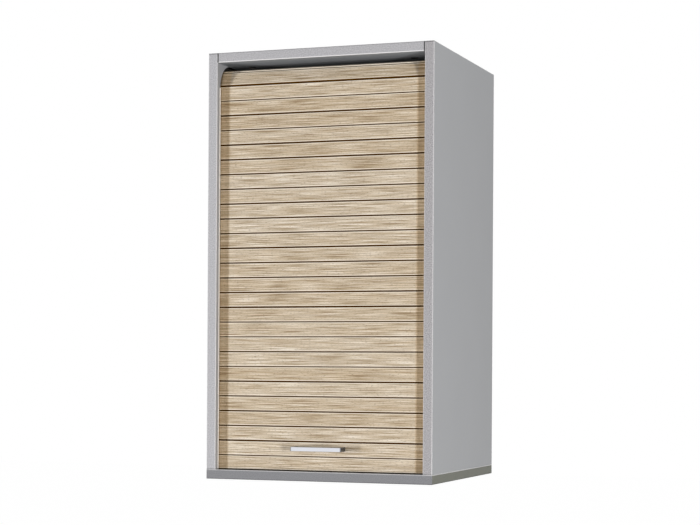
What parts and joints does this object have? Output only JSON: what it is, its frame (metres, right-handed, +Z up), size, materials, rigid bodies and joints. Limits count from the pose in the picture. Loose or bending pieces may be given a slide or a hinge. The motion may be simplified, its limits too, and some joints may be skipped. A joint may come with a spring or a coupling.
{
  "type": "wall cabinet",
  "caption": "Wall-hung cabinet whose wood-decor roller shutter slides up and round under the top, with a bow handle and an adjustable shelf inside.",
  "frame": {"origin": "under the middle of the outline with the handle included, on the plane of the underside", "axes": "+Z up, -Y out of the front, +Y towards the wall, +X to the right of someone who faces the front"},
  "size_m": [0.4, 0.368, 0.72],
  "materials": {
    "grey_board": "chipboard faced with silver-grey melamine, fine matte texture",
    "grey_edging": "silver-grey plastic edging, satin",
    "back_board": "thin fibreboard, grey lacquered",
    "oak_slat": "light oak decor, straight grain along the slat, matte",
    "hinge_strip": "dark brown flexible plastic",
    "ivory_rail": "extruded ivory plastic",
    "handle_metal": "satin anodised",
    "fitting_steel": "zinc plated",
    "plate_steel": "zinc plated sheet",
    "cam_zinc": "die-cast zinc",
    "dowel_beech": "beech",
    "stop_rubber": "black rubber",
    "seal_rubber": "dark soft plastic"
  },
  "bodies": {
    "cabinet": {"right_side_panel": "grey_board", "left_side_panel": "grey_board", "top_panel": "grey_board", "bottom_panel": "grey_board", "inner_top_panel": "grey_board", "false_back_panel": "grey_board", "adjustable_shelf": "grey_board", "back_panel": "back_board", "right_front_edging": "grey_edging", "left_front_edging": "grey_edging", "top_front_edging": "grey_edging", "bottom_front_edging": "grey_edging", "end_edgings": "grey_edging", "shelf_edging": "grey_edging", "shelf_pins": "fitting_steel", "cam_locks": "cam_zinc", "cam_bolts": "fitting_steel", "dowels": "dowel_beech", "joint_screws": "fitting_steel", "hanging_plates": "plate_steel", "hanging_plate_screws": "fitting_steel", "right_guide_rail": "ivory_rail", "left_guide_rail": "ivory_rail", "travel_stops": "stop_rubber", "front_hinge_strips": "hinge_strip", "tail_hinge_strips": "hinge_strip", "front_slat_01": "oak_slat", "front_slat_02": "oak_slat", "front_slat_03": "oak_slat", "front_slat_04": "oak_slat", "front_slat_05": "oak_slat", "front_slat_06": "oak_slat", "front_slat_07": "oak_slat", "front_slat_08": "oak_slat", "front_slat_09": "oak_slat", "front_slat_10": "oak_slat", "front_slat_11": "oak_slat", "front_slat_12": "oak_slat", "front_slat_13": "oak_slat", "front_slat_14": "oak_slat", "front_slat_15": "oak_slat", "front_slat_16": "oak_slat", "front_slat_17": "oak_slat", "front_slat_18": "oak_slat", "front_slat_19": "oak_slat", "front_slat_20": "oak_slat", "front_slat_21": "oak_slat", "front_slat_22": "oak_slat", "front_slat_23": "oak_slat", "front_slat_24": "oak_slat", "tail_slat_1": "oak_slat", "tail_slat_2": "oak_slat", "tail_slat_3": "oak_slat", "tail_slat_4": "oak_slat"},
    "shutter_lead": {"bottom_slat": "oak_slat", "handle_slat": "oak_slat", "lead_hinge_strip": "hinge_strip", "bottom_seal": "seal_rubber", "handle": "handle_metal", "handle_screws": "fitting_steel"}
  },
  "joints": [
    {"name": "shutter_slide", "type": "slide", "parent": "cabinet", "child": "shutter_lead", "axis": [0, 0, 1], "range_m": [0, 0.6], "deforming": ["front_slat_01", "front_slat_02", "front_slat_03", "front_slat_04", "front_slat_05", "front_slat_06", "front_slat_07", "front_slat_08", "front_slat_09", "front_slat_10", "front_slat_11", "front_slat_12", "front_slat_13", "front_slat_14", "front_slat_15", "front_slat_16", "front_slat_17", "front_slat_18", "front_slat_19", "front_slat_20", "front_slat_21", "front_slat_22", "front_slat_23", "front_slat_24", "front_hinge_strips"]}
  ]
}
